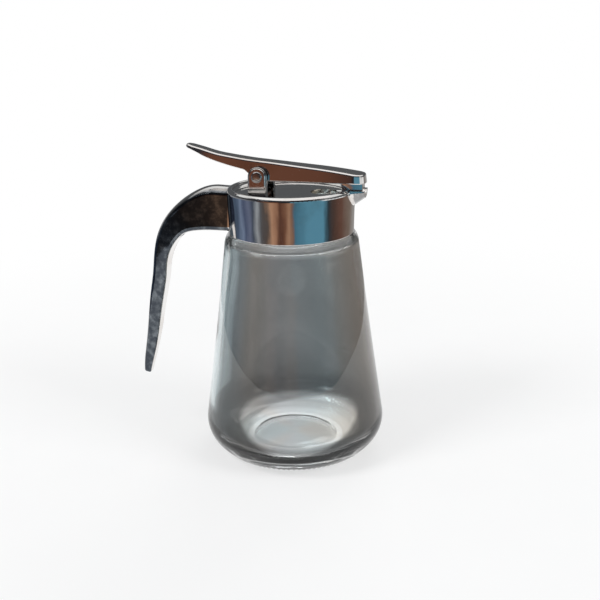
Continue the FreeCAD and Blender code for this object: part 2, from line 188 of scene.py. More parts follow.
# %% Sizes of the jar, in millimetres
HEEL_R, HEEL_H = 42.3, 18.0
FOOT_R, FOOT_W, PUNT_H = 23.2, 2.8, 1.5
SHOULDER_R, SHOULDER_Z, SHOULDER_H = 30.6, 101.5, 4.1
HOLLOW = 0.26
NECK_R, NECK_ROUND, JAR_TOP = 25.4, 1.6, 122.4
WALL, NECK_WALL, LIP = 3.0, 3.5, 0.8
FLOOR_T, FLOOR_R, FLOOR_ROUND = 7.0, 25.5, 11.5
SHOULDER_TOP = SHOULDER_Z + SHOULDER_H
MIDDLE_Z = (HEEL_H + SHOULDER_Z) / 2


def cone_radius(z):
    """The straight line from the top of the heel to the top of the cone."""
    return HEEL_R + (SHOULDER_R - HEEL_R) * (z - HEEL_H) / (SHOULDER_Z - HEEL_H)


def line(a, b, steps):
    """Points from a up to, but without, b: a moves towards b by equal shares."""
    share = np.arange(steps)[:, None] / steps
    return np.array(a) + (np.array(b) - np.array(a)) * share


def corner(a, knee, b, steps):
    """A quarter of an ellipse: a cubic whose handles reach 0.5523 of the way to the knee."""
    t = np.arange(steps)[:, None] / steps
    a, knee, b = map(np.array, (a, knee, b))
    first, second = a + (knee - a) * 0.5523, b + (knee - b) * 0.5523
    return (1 - t) ** 3 * a + 3 * (1 - t) ** 2 * t * first + 3 * (1 - t) * t ** 2 * second + t ** 3 * b


def bow(a, middle, b, steps):
    """A quadratic curve that leaves a towards the middle point and reaches b from it."""
    t = np.arange(steps)[:, None] / steps
    a, middle, b = map(np.array, (a, middle, b))
    return (1 - t) ** 2 * a + 2 * (1 - t) * t * middle + t ** 2 * b


def beyond(a, b, z):
    """The point at height z on the straight line through a and b."""
    return (a[0] + (b[0] - a[0]) * (z - a[1]) / (b[1] - a[1]), z)


waist = (cone_radius(MIDDLE_Z) - 2 * HOLLOW, MIDDLE_Z)
heel, shoulder = (HEEL_R, HEEL_H), (SHOULDER_R, SHOULDER_Z)
foot_in = FOOT_R - FOOT_W
neck_foot = NECK_R + NECK_ROUND
ledge = (neck_foot + NECK_ROUND, SHOULDER_TOP)
inset = WALL / math.cos(math.atan2(HEEL_R - SHOULDER_R, SHOULDER_Z - HEEL_H))
mouth_r = NECK_R - NECK_WALL
ceiling_z, top_z, floor_z = SHOULDER_TOP - WALL, SHOULDER_Z - 0.5, FLOOR_T + FLOOR_ROUND
in_waist = (waist[0] - inset, MIDDLE_Z)
in_top = (cone_radius(top_z) - inset, top_z)
in_foot = (cone_radius(floor_z) - inset, floor_z)
step_in = (in_top[0] - mouth_r) / 2
in_ledge = (mouth_r + step_in, ceiling_z)

PUNT_STEPS, RISE_STEPS, RING_STEPS, HEEL_STEPS = 10, 6, 3, 90
outside = np.concatenate([
    line((0.6, PUNT_H), (foot_in * 0.6, PUNT_H), PUNT_STEPS),
    corner((foot_in * 0.6, PUNT_H), (foot_in * 0.9, PUNT_H), (foot_in, 0), RISE_STEPS),
    line((foot_in, 0), (FOOT_R, 0), RING_STEPS),
    corner((FOOT_R, 0), beyond(waist, heel, 0), heel, HEEL_STEPS),
    bow(heel, waist, shoulder, 60),
    corner(shoulder, beyond(waist, shoulder, SHOULDER_TOP), ledge, 14),
    line(ledge, (neck_foot, SHOULDER_TOP), 2),
    corner((neck_foot, SHOULDER_TOP), (NECK_R, SHOULDER_TOP), (NECK_R, SHOULDER_TOP + NECK_ROUND), 5),
    line((NECK_R, SHOULDER_TOP + NECK_ROUND), (NECK_R, JAR_TOP - LIP), 34),
    corner((NECK_R, JAR_TOP - LIP), (NECK_R, JAR_TOP), (NECK_R - LIP, JAR_TOP), 4),
])
inside = np.concatenate([
    line((NECK_R - LIP, JAR_TOP), (mouth_r + LIP, JAR_TOP), 3),
    corner((mouth_r + LIP, JAR_TOP), (mouth_r, JAR_TOP), (mouth_r, JAR_TOP - LIP), 4),
    line((mouth_r, JAR_TOP - LIP), (mouth_r, ceiling_z + step_in), 6),
    corner((mouth_r, ceiling_z + step_in), (mouth_r, ceiling_z), in_ledge, 7),
    corner(in_ledge, beyond(in_waist, in_top, ceiling_z), in_top, 9),
    bow(in_top, in_waist, in_foot, 30),
    corner(in_foot, beyond(in_waist, in_foot, FLOOR_T), (FLOOR_R, FLOOR_T), 26),
    line((FLOOR_R, FLOOR_T), (0.6, FLOOR_T), 10),
    [(0.6, FLOOR_T)],
])
profile = np.concatenate([outside, inside])
print("jar profile:", len(profile), "points, widest", round(float(profile[:, 0].max()), 2), "mm")


# %% [markdown]
# ## Relief on the glass
#
# Pressed glass is never a bare profile.  Round the heel the mould left a band of short
# upright grip bars, the neck carries a screw thread, and the wall wavers slightly, which
# is what breaks long reflections.  All three are small steps along the surface's own
# normal, written as functions of the angle and of the distance along the profile.

# %% Turn the profile and add the relief
def closed_turn(profile, around, relief):
    """Turns a profile about Z.

    Point (i, j) is profile point j pushed out by relief(angle, radius, height, j) along the
    profile's normal and turned by angle i.  Both ends of the profile close on one point.
    """
    along = np.gradient(profile, axis=0)
    normal = np.stack([along[:, 1], -along[:, 0]], axis=1)
    normal /= np.linalg.norm(normal, axis=1, keepdims=True)
    angle = np.linspace(0, 2 * np.pi, around, endpoint=False)[:, None]
    index = np.arange(len(profile))[None, :]
    push = relief(angle, profile[None, :, 0], profile[None, :, 1], index)
    radius = profile[None, :, 0] + push * normal[None, :, 0]
    height = profile[None, :, 1] + push * normal[None, :, 1]
    grid = np.stack([radius * np.cos(angle), radius * np.sin(angle), height + 0 * angle], axis=2)
    poles = np.array([[0, 0, grid[0, 0, 2]], [0, 0, grid[0, -1, 2]]])
    points = np.concatenate([grid.reshape(-1, 3), poles]) * MM
    rows = len(profile)
    i, j = np.meshgrid(np.arange(around), np.arange(rows - 1), indexing="ij")
    here, after = i * rows + j, ((i + 1) % around) * rows + j
    quads = np.stack([here, after, after + 1, here + 1], axis=2).reshape(-1, 4)
    first = np.arange(around) * rows
    second = ((np.arange(around) + 1) % around) * rows
    bottom = np.stack([second, first, np.full(around, around * rows)], axis=1)
    top = np.stack([first + rows - 1, second + rows - 1, np.full(around, around * rows + 1)], axis=1)
    return points, quads.tolist() + bottom.tolist() + top.tolist()


def bump(x, middle, half):
    """A smooth hump: 1 at the middle, falling to 0 at half away from it."""
    return np.cos(np.clip((x - middle) / half, -1, 1) * np.pi / 2) ** 2


OUT = len(outside)
HEEL_FIRST = PUNT_STEPS + RISE_STEPS + RING_STEPS
BARS, BAR_H = 96, 0.34
BARS_AT, BARS_REACH = 0.36, 0.2
PITCH, THREAD_H, THREAD_LOW, THREAD_HIGH = 3.2, 0.55, 110.0, 119.5
WAVER, WAVER_OUT, WAVER_IN, WALL_INSET = 0.05, 0.6, 2.2, 0.06


def jar_relief(angle, radius, height, index):
    """Grip bars round the heel, a screw thread on the neck and a slow waver of the wall."""
    outer, inner = index < OUT, index >= OUT
    band = bump((index - HEEL_FIRST) / HEEL_STEPS, BARS_AT, BARS_REACH)
    bars = 0.5 + 0.5 * np.cos(angle * BARS)
    grip = BAR_H * band * bars ** 1.5
    turn = (height - THREAD_LOW + 0.4 - PITCH * angle / (2 * np.pi)) % PITCH
    thread = THREAD_H * bump(turn, PITCH / 2, PITCH / 4) * ((height > THREAD_LOW) & (height < THREAD_HIGH))
    waver = WAVER * np.sin(3 * angle + height * 0.05) * np.sin(height * 0.09 + 2 * np.cos(angle))
    on_wall = outer & (height > 12) & (height < 100)
    within = inner & (height > 9) & (height < 98)
    push = outer * (grip + thread) + on_wall * (waver - WALL_INSET) * WAVER_OUT
    return push + within * waver * WAVER_IN


def mesh_piece(name, points, faces, body):
    """Makes a smooth-shaded mesh object that rides on a body."""
    mesh = bpy.data.meshes.new(name)
    mesh.from_pydata(points.tolist(), [], faces)
    mesh.validate()
    mesh.polygons.foreach_set("use_smooth", np.ones(len(mesh.polygons), dtype=bool))
    mesh.update()
    piece = bpy.data.objects.new(name, mesh)
    bpy.context.scene.collection.objects.link(piece)
    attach(piece, body)
    print(name, "has", len(mesh.vertices), "points")
    return piece


AROUND = 288
points, faces = closed_turn(profile, AROUND, jar_relief)
jar = mesh_piece("jar_glass", points, faces, "dispenser")
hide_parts("glass_jar")


# %% [markdown]
# ## The casting
#
# Collar, rolled rim, sunk deck, pouring lip and horn handle are one casting, and the solid
# already has their shape and its own smooth normals.  Only the hinge ears are drawn again,
# closer together, because the lever below is slimmer than its solid.  A solid's own mesh is
# never changed, so this works on a copy: the triangles of the ears are left out, the two
# places where they stood become flat deck again, and the doubles are merged.

# %% Read the casting's triangles
hinge = frame["record"]["behaviour"]["joints"][0]
PIN_X, PIN_Z = hinge["pos_m"][0] / MM, hinge["pos_m"][2] / MM
RIM_Z, DECK_Z = 126.4, 124.3


def triangles_of(node):
    """The corners of a solid's triangles in mm, (n, 3, 3), and the normals there."""
    mesh = nodes[node].data
    places = np.empty(len(mesh.vertices) * 3, dtype=np.float32)
    mesh.vertices.foreach_get("co", places)
    corners = np.empty(len(mesh.loops), dtype=np.int32)
    mesh.loops.foreach_get("vertex_index", corners)
    normals = np.empty(len(mesh.loops) * 3, dtype=np.float32)
    mesh.corner_normals.foreach_get("vector", normals)
    return places.reshape(-1, 3)[corners].reshape(-1, 3, 3) / MM, normals.reshape(-1, 3, 3)


corners, normals = triangles_of("top_casting")
EAR_SPAN, EAR_NEAR, EAR_FAR, HAIR = 4.2, 7.0, 15.5, 0.01
beside_pin = np.abs(corners[..., 0] - PIN_X) < EAR_SPAN
between = (np.abs(corners[..., 1]) > EAR_NEAR) & (np.abs(corners[..., 1]) < EAR_FAR)
is_ear = (beside_pin & between & (corners[..., 2] > DECK_Z - HAIR)).all(axis=1)
print("casting:", len(corners), "triangles,", int(is_ear.sum()), "of them in the ears")


# %% Close the deck and merge
def flat_patch(low, high, z):
    """Two triangles that fill a level rectangle, facing up."""
    a, b = (low[0], low[1], z), (high[0], low[1], z)
    c, d = (high[0], high[1], z), (low[0], high[1], z)
    return np.array([[a, b, c], [a, c, d]])


patches = []
for side in (-1, 1):
    own = corners[is_ear].reshape(-1, 3)
    at_deck = own[(np.abs(own[:, 2] - DECK_Z) < HAIR) & (own[:, 1] * side > 0)]
    patches.append(flat_patch(at_deck.min(axis=0), at_deck.max(axis=0), DECK_Z))
patches = np.concatenate(patches)
kept = np.concatenate([corners[~is_ear], patches])
kept_normals = np.concatenate([normals[~is_ear], np.broadcast_to([0.0, 0.0, 1.0], patches.shape)])
rounded = np.round(kept.reshape(-1, 3), 3)
unique, index = np.unique(rounded, axis=0, return_inverse=True)
index = index.reshape(-1, 3)
whole = (index[:, 0] != index[:, 1]) & (index[:, 1] != index[:, 2]) & (index[:, 2] != index[:, 0])
casting = mesh_piece("top_plated", unique * MM, index[whole].tolist(), "dispenser")
casting.data.normals_split_custom_set(kept_normals[whole].reshape(-1, 3).tolist())

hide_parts("top_casting")

# %% Where the casting is painted darker: painted dark reflection on the horn's sides, painted shade under the lip
HANDLE_X, LIP_X0, LIP_SHADE = -27.9, 29.2, 0.62


def strongest(values):
    """For each merged point, the largest of the values at the corners that meet there."""
    most = np.zeros(len(unique))
    np.maximum.at(most, index.reshape(-1), values.reshape(-1))
    return most


# painted dark reflection on the horn's sideways faces, painted shade under the lip
on_handle = strongest(np.abs(kept_normals[..., 1])) * (unique[:, 0] < HANDLE_X)
under_lip = (strongest(-kept_normals[..., 2]) > 0.05) & (unique[:, 0] > LIP_X0)
flank = np.maximum(on_handle, LIP_SHADE * under_lip)

# %% [markdown]
# ## Lofted metal pieces
#
# The small metal pieces are all skins over closed loops: the same loop drawn again and
# again, moved a little and pulled in a little, so that every edge gets a true rounding.
# A mirror finish needs that, because a sharp edge catches no light at all.

# %% Skin over loops
CAP_SHARE, DOUBLE, CREASE = 0.97, 0.000002, math.radians(35)


def skin(name, loops, body, caps=True):
    """Joins closed loops, an (m, n, 3) array in mm, by quads, caps both ends and merges doubles.

    A capped end first gets the same loop drawn slightly smaller, so that the flat cap keeps
    its own normal and the rounding beside it doesn't bend what it mirrors.
    """
    if caps:
        first, last = loops[:1], loops[-1:]
        middles = [loop.mean(axis=1, keepdims=True) for loop in (first, last)]
        shrunk = [middle + (loop - middle) * CAP_SHARE for loop, middle in zip((first, last), middles)]
        loops = np.concatenate([shrunk[0], loops, shrunk[1]])
    count, around = loops.shape[:2]
    i, j = np.meshgrid(np.arange(count - 1), np.arange(around), indexing="ij")
    here, above, after = i * around, (i + 1) * around, (j + 1) % around
    quads = np.stack([here + j, here + after, above + after, above + j], axis=2)
    faces = quads.reshape(-1, 4).tolist()
    if caps:
        faces += [list(range(around))[::-1], list(range((count - 1) * around, count * around))]
    piece = mesh_piece(name, loops.reshape(-1, 3) * MM, faces, body)
    shell = bmesh.new()
    shell.from_mesh(piece.data)
    bmesh.ops.remove_doubles(shell, verts=shell.verts, dist=DOUBLE)
    bmesh.ops.recalc_face_normals(shell, faces=shell.faces)
    open_edges = sum(1 for edge in shell.edges if not edge.is_manifold)
    shell.to_mesh(piece.data)
    shell.free()
    piece.data.set_sharp_from_angle(angle=CREASE)
    print(name, "open edges:", open_edges)
    return piece


LEG_STEPS, ARCH_STEPS = 6, 28
EAR_LEAN = 0.07


def arch_loop(radius, foot_z, pull):
    """An arch about the pin seen along it: half a circle on two legs, pulled in by pull."""
    r = radius - pull
    leg = np.linspace(foot_z + pull, PIN_Z, LEG_STEPS)[:-1]
    turn = np.linspace(0, np.pi, ARCH_STEPS)
    right = np.stack([np.full(leg.shape, PIN_X + r), leg], axis=1)
    left = np.stack([np.full(leg.shape, PIN_X - r), leg[::-1]], axis=1)
    over = np.stack([PIN_X + r * np.cos(turn), PIN_Z + r * np.sin(turn)], axis=1)
    return np.concatenate([right, over, left])


def arch_plate(radius, foot_z, stops, side):
    """Arch loops at several distances from the middle plane: stops are (distance, pull, lean).

    A leaning loop comes closer to the middle plane by lean for each mm of height.
    """
    loops = []
    for distance, pull, lean in stops:
        flat = arch_loop(radius, foot_z, pull)
        away = side * (distance - lean * (flat[:, 1] - DECK_Z))
        loops.append(np.stack([flat[:, 0], away, flat[:, 1]], axis=1))
    return np.array(loops)


# %% [markdown]
# ## The lever
#
# The lever is an upside-down tray.  Seen from above it has a round thumb end, straight
# sides that open slightly and a bowed nose with rounded corners.  Its outline is a row of
# circle centres, radii and directions, so pulling it in only makes the radii smaller.  The
# whole shell is one function of two parameters: how far round the outline, and how far
# along a path that runs from the middle of the top, over the edge, down the skirt, and
# back up on the inside.

# %% Sizes of the lever, in millimetres
THUMB_X, NOSE_X = -48.0, 34.2
THUMB_R, NOSE_BOW, NOSE_CORNER = 3.9, 14.0, 5.0
FLARE = math.radians(2.35)
LEVER_WALL, LEVER_EDGE, LEVER_CAMBER, LEVER_LEAN = 1.5, 0.9, 50.0, 0.085
LEVER_L = NOSE_X - THUMB_X
SKIRT, NOSE_DIP, DIP_LENGTH, LUG_R = 2.7, 0.4, 10.0, 3.5
# (share of the length from the thumb end, height over the rim) of the top and of the thumb's edge
TOP_LINE = np.array([(0, 18.85), (0.09, 16.9), (0.18, 14.8), (0.27, 13.5), (0.37, 12.3),
                     (0.5, 11.2), (0.65, 9.9), (0.8, 8.6), (0.9, 7.5), (1, 6.2)])
THUMB_EDGE = np.array([(-0.02, 17.7), (0, 17.3), (0.05, 15.7), (0.11, 13.3), (0.16, 11.7),
                       (0.24, 9.7), (0.34, 7.7)])


# %% Outline from above
def half_width(x, pull=0.0):
    """Half the width between the straight sides, which touch the thumb end's circle."""
    return (THUMB_R - pull) / math.cos(FLARE) + (x - THUMB_X - THUMB_R) * math.tan(FLARE)


def lever_outline():
    """Circle centres (n, 2), radii (n) and directions (n, 2) once round the lever.

    From the middle of the nose: the bow, a corner's circle that touches bow and side, the
    side, where centre and radius go evenly to the thumb end's, and the thumb end.
    """
    bow_x, gap = NOSE_X - NOSE_BOW, NOSE_BOW - NOSE_CORNER
    middle, slope = half_width(bow_x, NOSE_CORNER), math.tan(FLARE)
    ahead = (math.sqrt(gap ** 2 * (1 + slope ** 2) - middle ** 2) - middle * slope) / (1 + slope ** 2)
    corner_at = np.array([bow_x + ahead, middle + slope * ahead])
    touch, side = math.atan2(corner_at[1], ahead), math.pi / 2 + FLARE
    parts = [((bow_x, 0), (bow_x, 0), NOSE_BOW, NOSE_BOW, 0, touch, 14),
             (corner_at, corner_at, NOSE_CORNER, NOSE_CORNER, touch, side, 12),
             (corner_at, (THUMB_X + THUMB_R, 0), NOSE_CORNER, THUMB_R, side, side, 150),
             ((THUMB_X + THUMB_R, 0), (THUMB_X + THUMB_R, 0), THUMB_R, THUMB_R, side, math.pi, 16)]
    centres, radii, turns = [], [], []
    for start, end, first_r, last_r, first_turn, last_turn, steps in parts:
        share = np.arange(steps) / steps
        centres.append(np.array(start) + (np.array(end) - np.array(start)) * share[:, None])
        radii.append(first_r + (last_r - first_r) * share)
        turns.append(first_turn + (last_turn - first_turn) * share)
    centre, radius, turn = map(np.concatenate, (centres, radii, turns))
    tip = np.array([[THUMB_X + THUMB_R, 0.0]])
    centre = np.concatenate([centre, tip, (centre * [1, -1])[:0:-1]])
    radius = np.concatenate([radius, [THUMB_R], radius[:0:-1]])
    turn = np.concatenate([turn, [math.pi], -turn[:0:-1]])
    return centre, radius, np.stack([np.cos(turn), np.sin(turn)], axis=1)


# %% Heights along the lever
def through(x, points):
    """A smooth curve through points: cubics between them, with the mean slopes at them."""
    places, heights = THUMB_X + points[:, 0] * LEVER_L, RIM_Z + points[:, 1]
    slopes = np.gradient(heights, places)
    k = np.clip(np.searchsorted(places, x) - 1, 0, len(places) - 2)
    h = places[k + 1] - places[k]
    t = (x - places[k]) / h
    return ((2 * t ** 3 - 3 * t ** 2 + 1) * heights[k] + (t ** 3 - 2 * t ** 2 + t) * h * slopes[k]
            + (3 * t ** 2 - 2 * t ** 3) * heights[k + 1] + (t ** 3 - t ** 2) * h * slopes[k + 1])


def top_height(flat):
    """The top: its middle line, less the arch from side to side."""
    return through(flat[:, 0], TOP_LINE) - LEVER_CAMBER + np.sqrt(LEVER_CAMBER ** 2 - flat[:, 1] ** 2)


def skirt_base(x):
    """The skirt's lower edge without the lug: thumb curve, slope down, then level with a dip."""
    end = THUMB_X + THUMB_EDGE[-1, 0] * LEVER_L
    behind = through(np.minimum(x, end), THUMB_EDGE)
    level = RIM_Z + SKIRT - NOSE_DIP * np.clip((x - NOSE_X + DIP_LENGTH) / DIP_LENGTH, 0, 1) ** 2
    share = np.clip((x - end) / (PIN_X - LUG_R - end), 0, 1)
    slope = RIM_Z + THUMB_EDGE[-1, 1] + (PIN_Z - RIM_Z - THUMB_EDGE[-1, 1]) * share
    ahead = np.clip((x - PIN_X + LUG_R) / (2 * LUG_R), 0, 1)
    line_down = PIN_Z + (RIM_Z + SKIRT - PIN_Z) * ahead
    return np.select([x < end, x < PIN_X - LUG_R, x < PIN_X + LUG_R], [behind, slope, line_down], level)


def skirt_height(x):
    """The skirt's lower edge with the lug's circle, which reaches below it at the pin."""
    edge = skirt_base(x)
    lug = PIN_Z - np.sqrt(np.clip(LUG_R ** 2 - (x - PIN_X) ** 2, 0, None))
    return np.where(np.abs(x - PIN_X) < LUG_R, np.minimum(edge, lug), edge)


# %% The shell
SPINE_END, HEM, HEM_IN, UNDER = 6.0, 0.30, 0.2, 0.1
HEM_STOPS = ((0, HEM), (0.09, 0.09), (HEM, 0), (LEVER_WALL - HEM_IN, 0), (LEVER_WALL, 0.05))


def lever_loops():
    """Loops from the middle of the top over the edge, down, and back to the middle inside."""
    centre, radius, way = lever_outline()

    def ring(pull):
        return centre + way * (radius - pull)[:, None]

    def at_height(flat, z):
        return np.concatenate([flat, np.broadcast_to(z, len(flat))[:, None]], axis=1)

    outline = ring(0)
    low = skirt_height(outline[:, 0])
    lean = LEVER_LEAN * (top_height(outline) - skirt_base(outline[:, 0]))
    spine = np.stack([outline[:, 0].clip(THUMB_X + THUMB_R, NOSE_X - SPINE_END), 0 * low], axis=1)
    rim = ring(LEVER_EDGE + lean)
    loops = []
    for share in (0, 0.15, 0.3, 0.5, 0.7, 0.85, 0.95):
        flat = spine + (rim - spine) * share
        loops.append(at_height(flat, top_height(flat)))
    for turn in np.radians([90, 75, 60, 45, 30, 15, 0]):
        pull = lean + LEVER_EDGE * (1 - math.cos(turn))
        loops.append(at_height(ring(pull), top_height(rim) - LEVER_EDGE * (1 - math.sin(turn))))
    side_height = top_height(rim) - LEVER_EDGE - low
    for share in (0.97, 0.05):
        loops.append(at_height(ring(lean * share), low + HEM + (side_height - HEM) * share))
    for pull, up in HEM_STOPS:
        loops.append(at_height(ring(pull), low + up))

    def ceiling(flat):
        return np.maximum(top_height(flat) - LEVER_WALL, low) + UNDER

    inner = ring(LEVER_WALL + HEM + lean)
    knee = np.maximum(ceiling(inner) - HEM, low + 0.07)
    loops.append(at_height(ring(LEVER_WALL + lean), knee))
    for share in (1, 0.6, 0.25, 0):
        flat = spine + (inner - spine) * share
        loops.append(at_height(flat, ceiling(flat)))
    return np.array(loops)


lever = skin("lever_shell", lever_loops(), "lid_lever", caps=False)
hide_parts("lever")

# %% [markdown]
# ## Plug, ears and pin
#
# Under the nose a short block fills the lip's trough when the lid is down.  Two arched ears
# stand on the deck beside the lever, each with a raised pad behind the pin's head that runs
# down towards the deck, and the pin runs through both.

# %% The plug
LIP_Z, LIP_X, MOUTH_R = 125.5, 33.9, 21.9
TROUGH_D, TROUGH_HALF, TROUGH_TAPER = 1.7, 5.8, 1.6
PLUG_GAP, PLUG_L, PLUG_TOP_Z = 0.35, 9.2, RIM_Z + 4.0
PLUG_FRONT = LIP_X - 1
PLUG_STOPS = ((PLUG_FRONT - PLUG_L, 0.3), (PLUG_FRONT + 0.3 - PLUG_L, 0), (PLUG_FRONT - 0.5, 0),
              (PLUG_FRONT - 0.15, 0.12), (PLUG_FRONT, 0.4))


def plug_loops():
    """U-shaped sections along X: level sides, half an ellipse below.  Stops are (x, pull)."""
    loops = []
    turn = np.linspace(0, -np.pi, 25)
    for x, pull in PLUG_STOPS:
        share = (x - MOUTH_R + 3) / (LIP_X + 4 - MOUTH_R)
        half = TROUGH_HALF - TROUGH_TAPER * share - PLUG_GAP - pull
        depth = TROUGH_D - PLUG_GAP - pull
        low = np.stack([half * np.cos(turn), LIP_Z + depth * np.sin(turn)], axis=1)
        flat = np.concatenate([[(half, PLUG_TOP_Z)], low, [(-half, PLUG_TOP_Z)]])
        loops.append(np.column_stack([np.full(len(flat), x), flat]))
    return np.array(loops)


plug = skin("lever_plug", plug_loops(), "lid_lever")

# %% The ears
EAR_GAP, EAR_T, EAR_R, EAR_SINK = 0.35, 2.8, 4.3, 0.4
PAD_R, PAD_T, PAD_DROP, PAD_SINK = 3.8, 0.6, 5.2, 0.3
ear_in = half_width(PIN_X + EAR_R) + EAR_GAP
ear_out = ear_in + EAR_T
pad_out = ear_out + PAD_T
# (distance from the middle plane, pull, lean): a small rounding inside and a larger one outside
ear_stops = [(ear_in, 0.3, 0), (ear_in + 0.09, 0.09, 0), (ear_in + 0.3, 0, 0)]
ear_stops += [(ear_out - back, pull, EAR_LEAN)
              for back, pull in ((0.45, 0), (0.22, 0.06), (0.06, 0.22), (0, 0.45))]
pad_stops = [(ear_out - PAD_SINK, 0, EAR_LEAN)]
pad_stops += [(pad_out - back, pull, EAR_LEAN)
              for back, pull in ((0.36, 0), (0.2, 0.07), (0.07, 0.2), (0, 0.4))]
metal_ears, metal_pads = [], []
for side, label in ((-1, "near"), (1, "far")):
    plate = arch_plate(EAR_R, DECK_Z - EAR_SINK, ear_stops, side)
    pad = arch_plate(PAD_R, PIN_Z - PAD_DROP, pad_stops, side)
    metal_ears.append(skin(f"ear_{label}", plate, "dispenser"))
    metal_pads.append(skin(f"ear_pad_{label}", pad, "dispenser"))


# %% The pin
def turned_on_pin(stops):
    """Circles about the pin's axis: stops are (place along Y, radius)."""
    turn = np.linspace(0, 2 * np.pi, PIN_STEPS, endpoint=False)
    circle = np.stack([np.cos(turn), 0 * turn, np.sin(turn)], axis=1)
    return np.array([(PIN_X, y, PIN_Z) + r * circle for y, r in stops])


PIN_R, HEAD_R, HEAD_T, PIN_STEPS = 1.6, 2.5, 0.7, 40
face = pad_out - EAR_LEAN * (PIN_Z - DECK_Z)
head = [(face, PIN_R), (face, HEAD_R), (face + 0.28, HEAD_R), (face + 0.5, HEAD_R - 0.15),
        (face + 0.63, HEAD_R - 0.45), (face + HEAD_T, HEAD_R - 1.0), (face + HEAD_T + 0.05, 0.3)]
stops = [(-y, r) for y, r in head[::-1]] + head
pin = skin("pin_with_heads", turned_on_pin(stops), "dispenser")
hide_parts("hinge_pin")


# %% [markdown]
# ## Clear pressed glass
#
# Soda glass is almost colourless.  Its wall carries a painted grey shade, stored on the points
# of the surface, that stands for the dark room seen through the glass: the outer wall is
# painted darkest, the inner wall and the round corner inside the heel less, and the flat floor
# of the jar not at all.  An oval low in the front wall is left unshaded, so the thick foot
# shows bright behind it, a painted bright patch that shows from every side.  The painted
# colour leans to blue at the handle's side and to brown at the lip's side, a painted
# reflection of coloured things beside the jar.

# %% The painted shade of the glass along the profile
SIDE_TURN = math.radians(13)
OUTER_TONE = np.array([(0, 1), (1, 0.5), (3, 0.26), (12, 0.14), (30, 0.14), (50, 0.19), (101, 0.19),
                       (104.5, 0.9)])
INNER_TONE = np.array([(7, 0.3), (19, 0.4), (26, 0.7), (40, 0.9), (101, 0.88), (104, 0.95)])
WINDOW_X, WINDOW_Z, WINDOW_HALF, WINDOW_RISE, WINDOW_EDGE = 8.5, 28.5, 26.0, 15.5, 0.09
CLEAR_X, CLEAR_Y, CLEAR_HALF, CLEAR_DEEP, CLEAR_EDGE = 4.0, 6.0, 26.5, 27.5, 0.08
STREAK_FROM, STREAK_EDGE, STREAK_TONE, STREAK_SHARE = 0.86, 0.1, 0.95, 0.85


def glass_tone(points, outer):
    """How clear each point is, from 0 (darkest) to 1 (clear), and how far to the side it lies.

    Outside, the painted shade follows the height, with an unshaded oval window low in the front
    wall, a painted bright patch.  Inside, the wall does too, and the rounded corner is painted
    dark round a clear oval, where the floor is flat.  Both walls are clearer in a broad streak
    at the handle's side, a painted highlight.  The side is the cosine of the angle from the
    lip's side.
    """
    x, y, z = (points / MM).T
    side = np.cos(np.arctan2(y, x) - SIDE_TURN)
    # painted bright oval: the front wall is left without painted shade here
    off_window = np.hypot((x - WINDOW_X) / WINDOW_HALF, (z - WINDOW_Z) / WINDOW_RISE)
    window = np.clip((1.0 - off_window) / WINDOW_EDGE, 0, 1) * (y < -15)
    off_clear = np.hypot((x - CLEAR_X) / CLEAR_HALF, (y - CLEAR_Y) / CLEAR_DEEP)
    clear = np.clip((1.04 - off_clear) / CLEAR_EDGE, 0, 1) * (z < 24)
    # painted grey shade by height, darkest on the outer wall
    wall = np.interp(z, *OUTER_TONE.T)
    inner_wall = np.interp(z, *INNER_TONE.T)
    wall += (1 - wall) * window
    inner_wall += (1 - inner_wall) * window
    inner_wall += (1 - inner_wall) * clear
    # painted highlight: a bright streak on both walls at the handle's side
    painted_highlight_streak = np.clip(-side - STREAK_FROM, 0, STREAK_EDGE) / STREAK_EDGE * ((z > 24) & (z < 100))
    tone = np.where(outer, wall, inner_wall)
    return tone + (STREAK_TONE - tone) * STREAK_SHARE * painted_highlight_streak, side


def store(piece, name, values):
    """Keeps one number per point on a mesh, under a name that a material can read."""
    layer = piece.data.attributes.new(name, "FLOAT", "POINT")
    layer.data.foreach_set("value", np.asarray(values, dtype=np.float32))


is_outer = np.concatenate([np.tile(np.arange(len(profile)) < OUT, AROUND), [True, False]])
tone, side = glass_tone(points, is_outer)
store(jar, "glass_tone", tone)
store(jar, "glass_side", side)


# %% Glass
def new_material(name):
    """A material and its emptied node tree."""
    material = bpy.data.materials.new(name)
    return material, Tree(material)


def finish_with(tree, **sockets):
    """A Principled shader with these sockets, on the material's output."""
    named = {key.replace("_", " "): value for key, value in sockets.items()}
    shader = tree.node("ShaderNodeBsdfPrincipled", None, named)
    tree.node("ShaderNodeOutputMaterial", None, {"Surface": shader})
    return shader


BLACK, WHITE = (0.0, 0.0, 0.0, 1.0), (1.0, 1.0, 1.0, 1.0)
glass, tree = new_material("pressed_glass")
where = tree.place()
glass_shade_there = tree.node("ShaderNodeAttribute", {"attribute_name": "glass_tone"}, out="Fac")
side_there = tree.node("ShaderNodeAttribute", {"attribute_name": "glass_side"}, out="Fac")
cloud = tree.noise(tree.stretched(where, (1.0, 1.0, 0.5)), 42.0, 3.0)
# painted reflection colours: blue at the handle's side, brown at the lip's side
painted_reflection_hue = tree.node("ShaderNodeValToRGB", {"stops": [
    (0.02, (0.88, 0.98, 1.00)), (0.10, (0.92, 0.98, 1.00)), (0.20, (1.00, 0.97, 0.93)),
    (0.35, (0.97, 0.99, 1.00)), (0.70, (0.94, 0.99, 1.00)), (0.88, (1.00, 0.99, 0.96)),
    (0.96, (1.00, 0.94, 0.87))]}, {"Fac": side_there * 0.5 + 0.5})
# the painted grey shade of the glass, from the stored value
level = glass_shade_there * (0.82 + cloud * 0.36)
grey = tree.mix(level, BLACK, WHITE)
tint = tree.node("ShaderNodeMix", {"data_type": "RGBA", "blend_type": "MULTIPLY"},
                 {0: 1.0, 6: grey, 7: painted_reflection_hue}, out=2)
